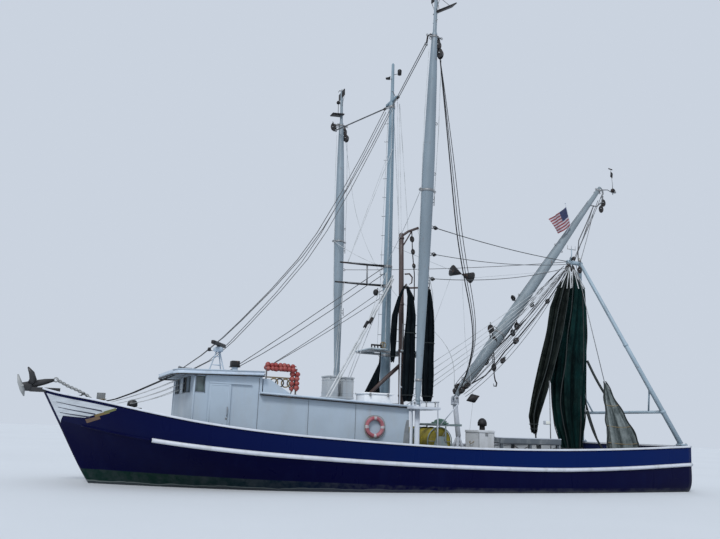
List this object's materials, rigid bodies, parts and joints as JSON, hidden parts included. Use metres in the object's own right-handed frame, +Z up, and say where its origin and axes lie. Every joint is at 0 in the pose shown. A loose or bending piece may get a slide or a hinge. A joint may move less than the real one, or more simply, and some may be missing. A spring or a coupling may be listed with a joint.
{
  "type": "outrigger shrimp trawler",
  "caption": "Decked steel fishing trawler with hinged outriggers, a luffing boom, stern gallows, trawl winch and nets hung to dry, afloat at its waterline.",
  "frame": {"origin": "on the centreline amidships at the waterline", "axes": "+X towards the stern, +Y to starboard, +Z up"},
  "size_m": [23.6954, 9.3992, 19.3264],
  "materials": {
    "hull_paint": "gloss navy paint, worn, with growth at the waterline",
    "white_paint": "white gloss paint, rust-streaked",
    "spar_paint": "light grey paint on steel tube",
    "galvanised_steel": "galvanised, weathered",
    "black_iron": "black paint, rusty",
    "window_glass": "dark tinted",
    "net_twine": "dark green knotted twine",
    "webbing": "pale green chafing mesh",
    "red_floats": "faded red",
    "drum_rope": "yellow, worn, with wound rope",
    "bare_timber": "grey weathered wood",
    "rusty_steel": "rusty brown",
    "bronze": "cast bronze"
  },
  "bodies": {
    "hull_body": {"hull": "hull_paint", "keel": "hull_paint", "engine": "galvanised_steel", "bulwark_port": "hull_paint", "bulwark_starboard": "hull_paint", "bulwark_stern": "hull_paint", "cap_rail_port": "white_paint", "cap_rail_starboard": "white_paint", "cap_rail_stern": "white_paint", "guard_port": "white_paint", "guard_starboard": "white_paint", "house_side_port": "white_paint", "house_side_starboard": "white_paint", "pilothouse_front": "white_paint", "glazing": "window_glass", "house_bulkhead": "white_paint", "house_roof": "white_paint", "pilothouse_roof": "white_paint", "pilothouse_aft": "white_paint", "roof_locker": "white_paint", "float_rack": "red_floats", "roof_boxes": "galvanised_steel", "roof_hatch": "white_paint", "radar_mast": "white_paint", "roof_lamp": "black_iron", "life_ring": "red_floats", "mast": "spar_paint", "net_post_port": "rusty_steel", "net_post_starboard": "spar_paint", "mast_platform": "white_paint", "outrigger_step_port": "white_paint", "outrigger_step_starboard": "white_paint", "outrigger_beam": "white_paint", "boom_step": "white_paint", "gallows": "spar_paint", "winch_frame": "galvanised_steel", "hold_coaming": "white_paint", "sorting_table": "bare_timber", "deck_box": "white_paint", "net_main": "net_twine", "net_forward": "net_twine", "net_stowed_forward": "net_twine", "net_stowed_after": "net_twine", "net_apron": "webbing", "samson_post": "white_paint", "bow_roller": "galvanised_steel", "anchor": "black_iron", "forestay": "galvanised_steel"},
    "outrigger_port": {"outrigger_port": "spar_paint"},
    "outrigger_starboard": {"outrigger_starboard": "spar_paint"},
    "boom": {"boom": "spar_paint"},
    "winch_drum_port": {"winch_drum_port": "drum_rope"},
    "winch_drum_starboard": {"winch_drum_starboard": "drum_rope"},
    "hold_lid": {"hold_lid": "white_paint"},
    "pilothouse_door_port": {"pilothouse_door_port": "white_paint"},
    "pilothouse_door_starboard": {"pilothouse_door_starboard": "white_paint"},
    "house_door": {"house_door": "white_paint"},
    "radar_scanner": {"radar_scanner": "black_iron"},
    "rudder": {"rudder": "hull_paint"},
    "propeller": {"propeller": "bronze"}
  },
  "joints": [
    {"name": "outrigger_port_topping", "type": "hinge", "parent": "hull_body", "child": "outrigger_port", "pos_m": [-0.5, -3.5, 2.75], "axis": [1, 0, 0], "range_deg": [0, 70]},
    {"name": "outrigger_starboard_topping", "type": "hinge", "parent": "hull_body", "child": "outrigger_starboard", "pos_m": [-0.5, 3.5, 2.75], "axis": [-1, 0, 0], "range_deg": [0, 70]},
    {"name": "boom_luff", "type": "hinge", "parent": "hull_body", "child": "boom", "pos_m": [2.93, 0, 3.16], "axis": [0, -1, 0], "range_deg": [-2, 20]},
    {"name": "winch_port_turn", "type": "hinge", "parent": "hull_body", "child": "winch_drum_port", "pos_m": [1.55, -0.75, 1.56], "axis": [0, 1, 0], "continuous": true},
    {"name": "winch_starboard_turn", "type": "hinge", "parent": "hull_body", "child": "winch_drum_starboard", "pos_m": [1.55, 0.75, 1.56], "axis": [0, 1, 0], "continuous": true},
    {"name": "hold_lid_hinge", "type": "hinge", "parent": "hull_body", "child": "hold_lid", "pos_m": [5.315, 0, 1.21], "axis": [0, 1, 0], "range_deg": [0, 100]},
    {"name": "pilothouse_door_port_slide", "type": "slide", "parent": "hull_body", "child": "pilothouse_door_port", "axis": [1, 0, 0], "range_m": [0, 0.63]},
    {"name": "pilothouse_door_starboard_slide", "type": "slide", "parent": "hull_body", "child": "pilothouse_door_starboard", "axis": [1, 0, 0], "range_m": [0, 0.63]},
    {"name": "house_door_hinge", "type": "hinge", "parent": "hull_body", "child": "house_door", "pos_m": [-0.26, -1.505, 1.75], "axis": [0, 0, -1], "range_deg": [0, 100]},
    {"name": "radar_turn", "type": "hinge", "parent": "hull_body", "child": "radar_scanner", "pos_m": [-6.33, -0.6, 4.4], "axis": [0, 0, 1], "continuous": true},
    {"name": "steering", "type": "hinge", "parent": "hull_body", "child": "rudder", "pos_m": [9.85, 0, -1.5], "axis": [0, 0, 1], "range_deg": [-35, 35]},
    {"name": "propeller_turn", "type": "hinge", "parent": "hull_body", "child": "propeller", "pos_m": [8.9, 0, -1.5], "axis": [1, 0, 0], "continuous": true}
  ]
}
